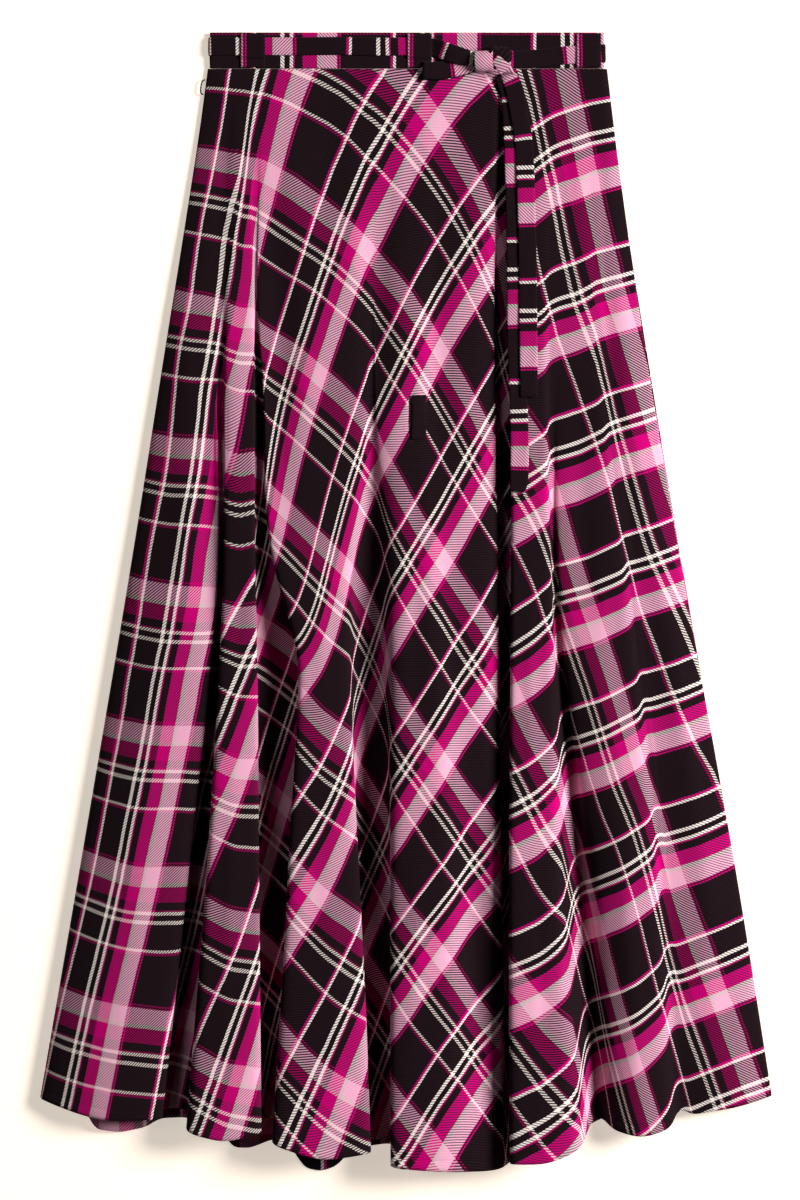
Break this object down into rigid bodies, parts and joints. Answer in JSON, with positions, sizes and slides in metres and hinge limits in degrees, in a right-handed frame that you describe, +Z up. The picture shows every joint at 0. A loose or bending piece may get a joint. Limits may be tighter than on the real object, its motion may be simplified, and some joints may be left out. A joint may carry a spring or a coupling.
{
  "type": "tie-waist flared maxi skirt",
  "caption": "Long flared plaid skirt laid flat, its spare width in deep flutes, with a waistband, belt loops and a tie belt knotted in a half bow.",
  "frame": {"origin": "middle of the surface that the skirt lies on, under the middle of its bounding box", "axes": "+X to the right and +Y towards the waist as seen from above, +Z up off the surface"},
  "size_m": [0.6264, 0.9779, 0.0393],
  "materials": {
    "plaid_cloth": "brushed twill, matt, in black, magenta, pink and white plaid",
    "belt_cloth": "the same brushed twill, folded and edge-stitched",
    "thread": "black sewing thread, matt"
  },
  "bodies": {
    "root": {"skirt_front": "plaid_cloth", "skirt_back": "plaid_cloth", "waistband": "plaid_cloth", "belt_back": "belt_cloth", "belt_left": "belt_cloth", "belt_right": "belt_cloth", "belt_loop_left": "belt_cloth", "belt_loop_centre": "belt_cloth", "belt_loop_right": "belt_cloth", "belt_knot": "belt_cloth", "bow_loop_left": "belt_cloth", "tie_end_rear": "belt_cloth", "tie_end_front": "belt_cloth", "thread_loop_left": "thread"}
  },
  "joints": []
}
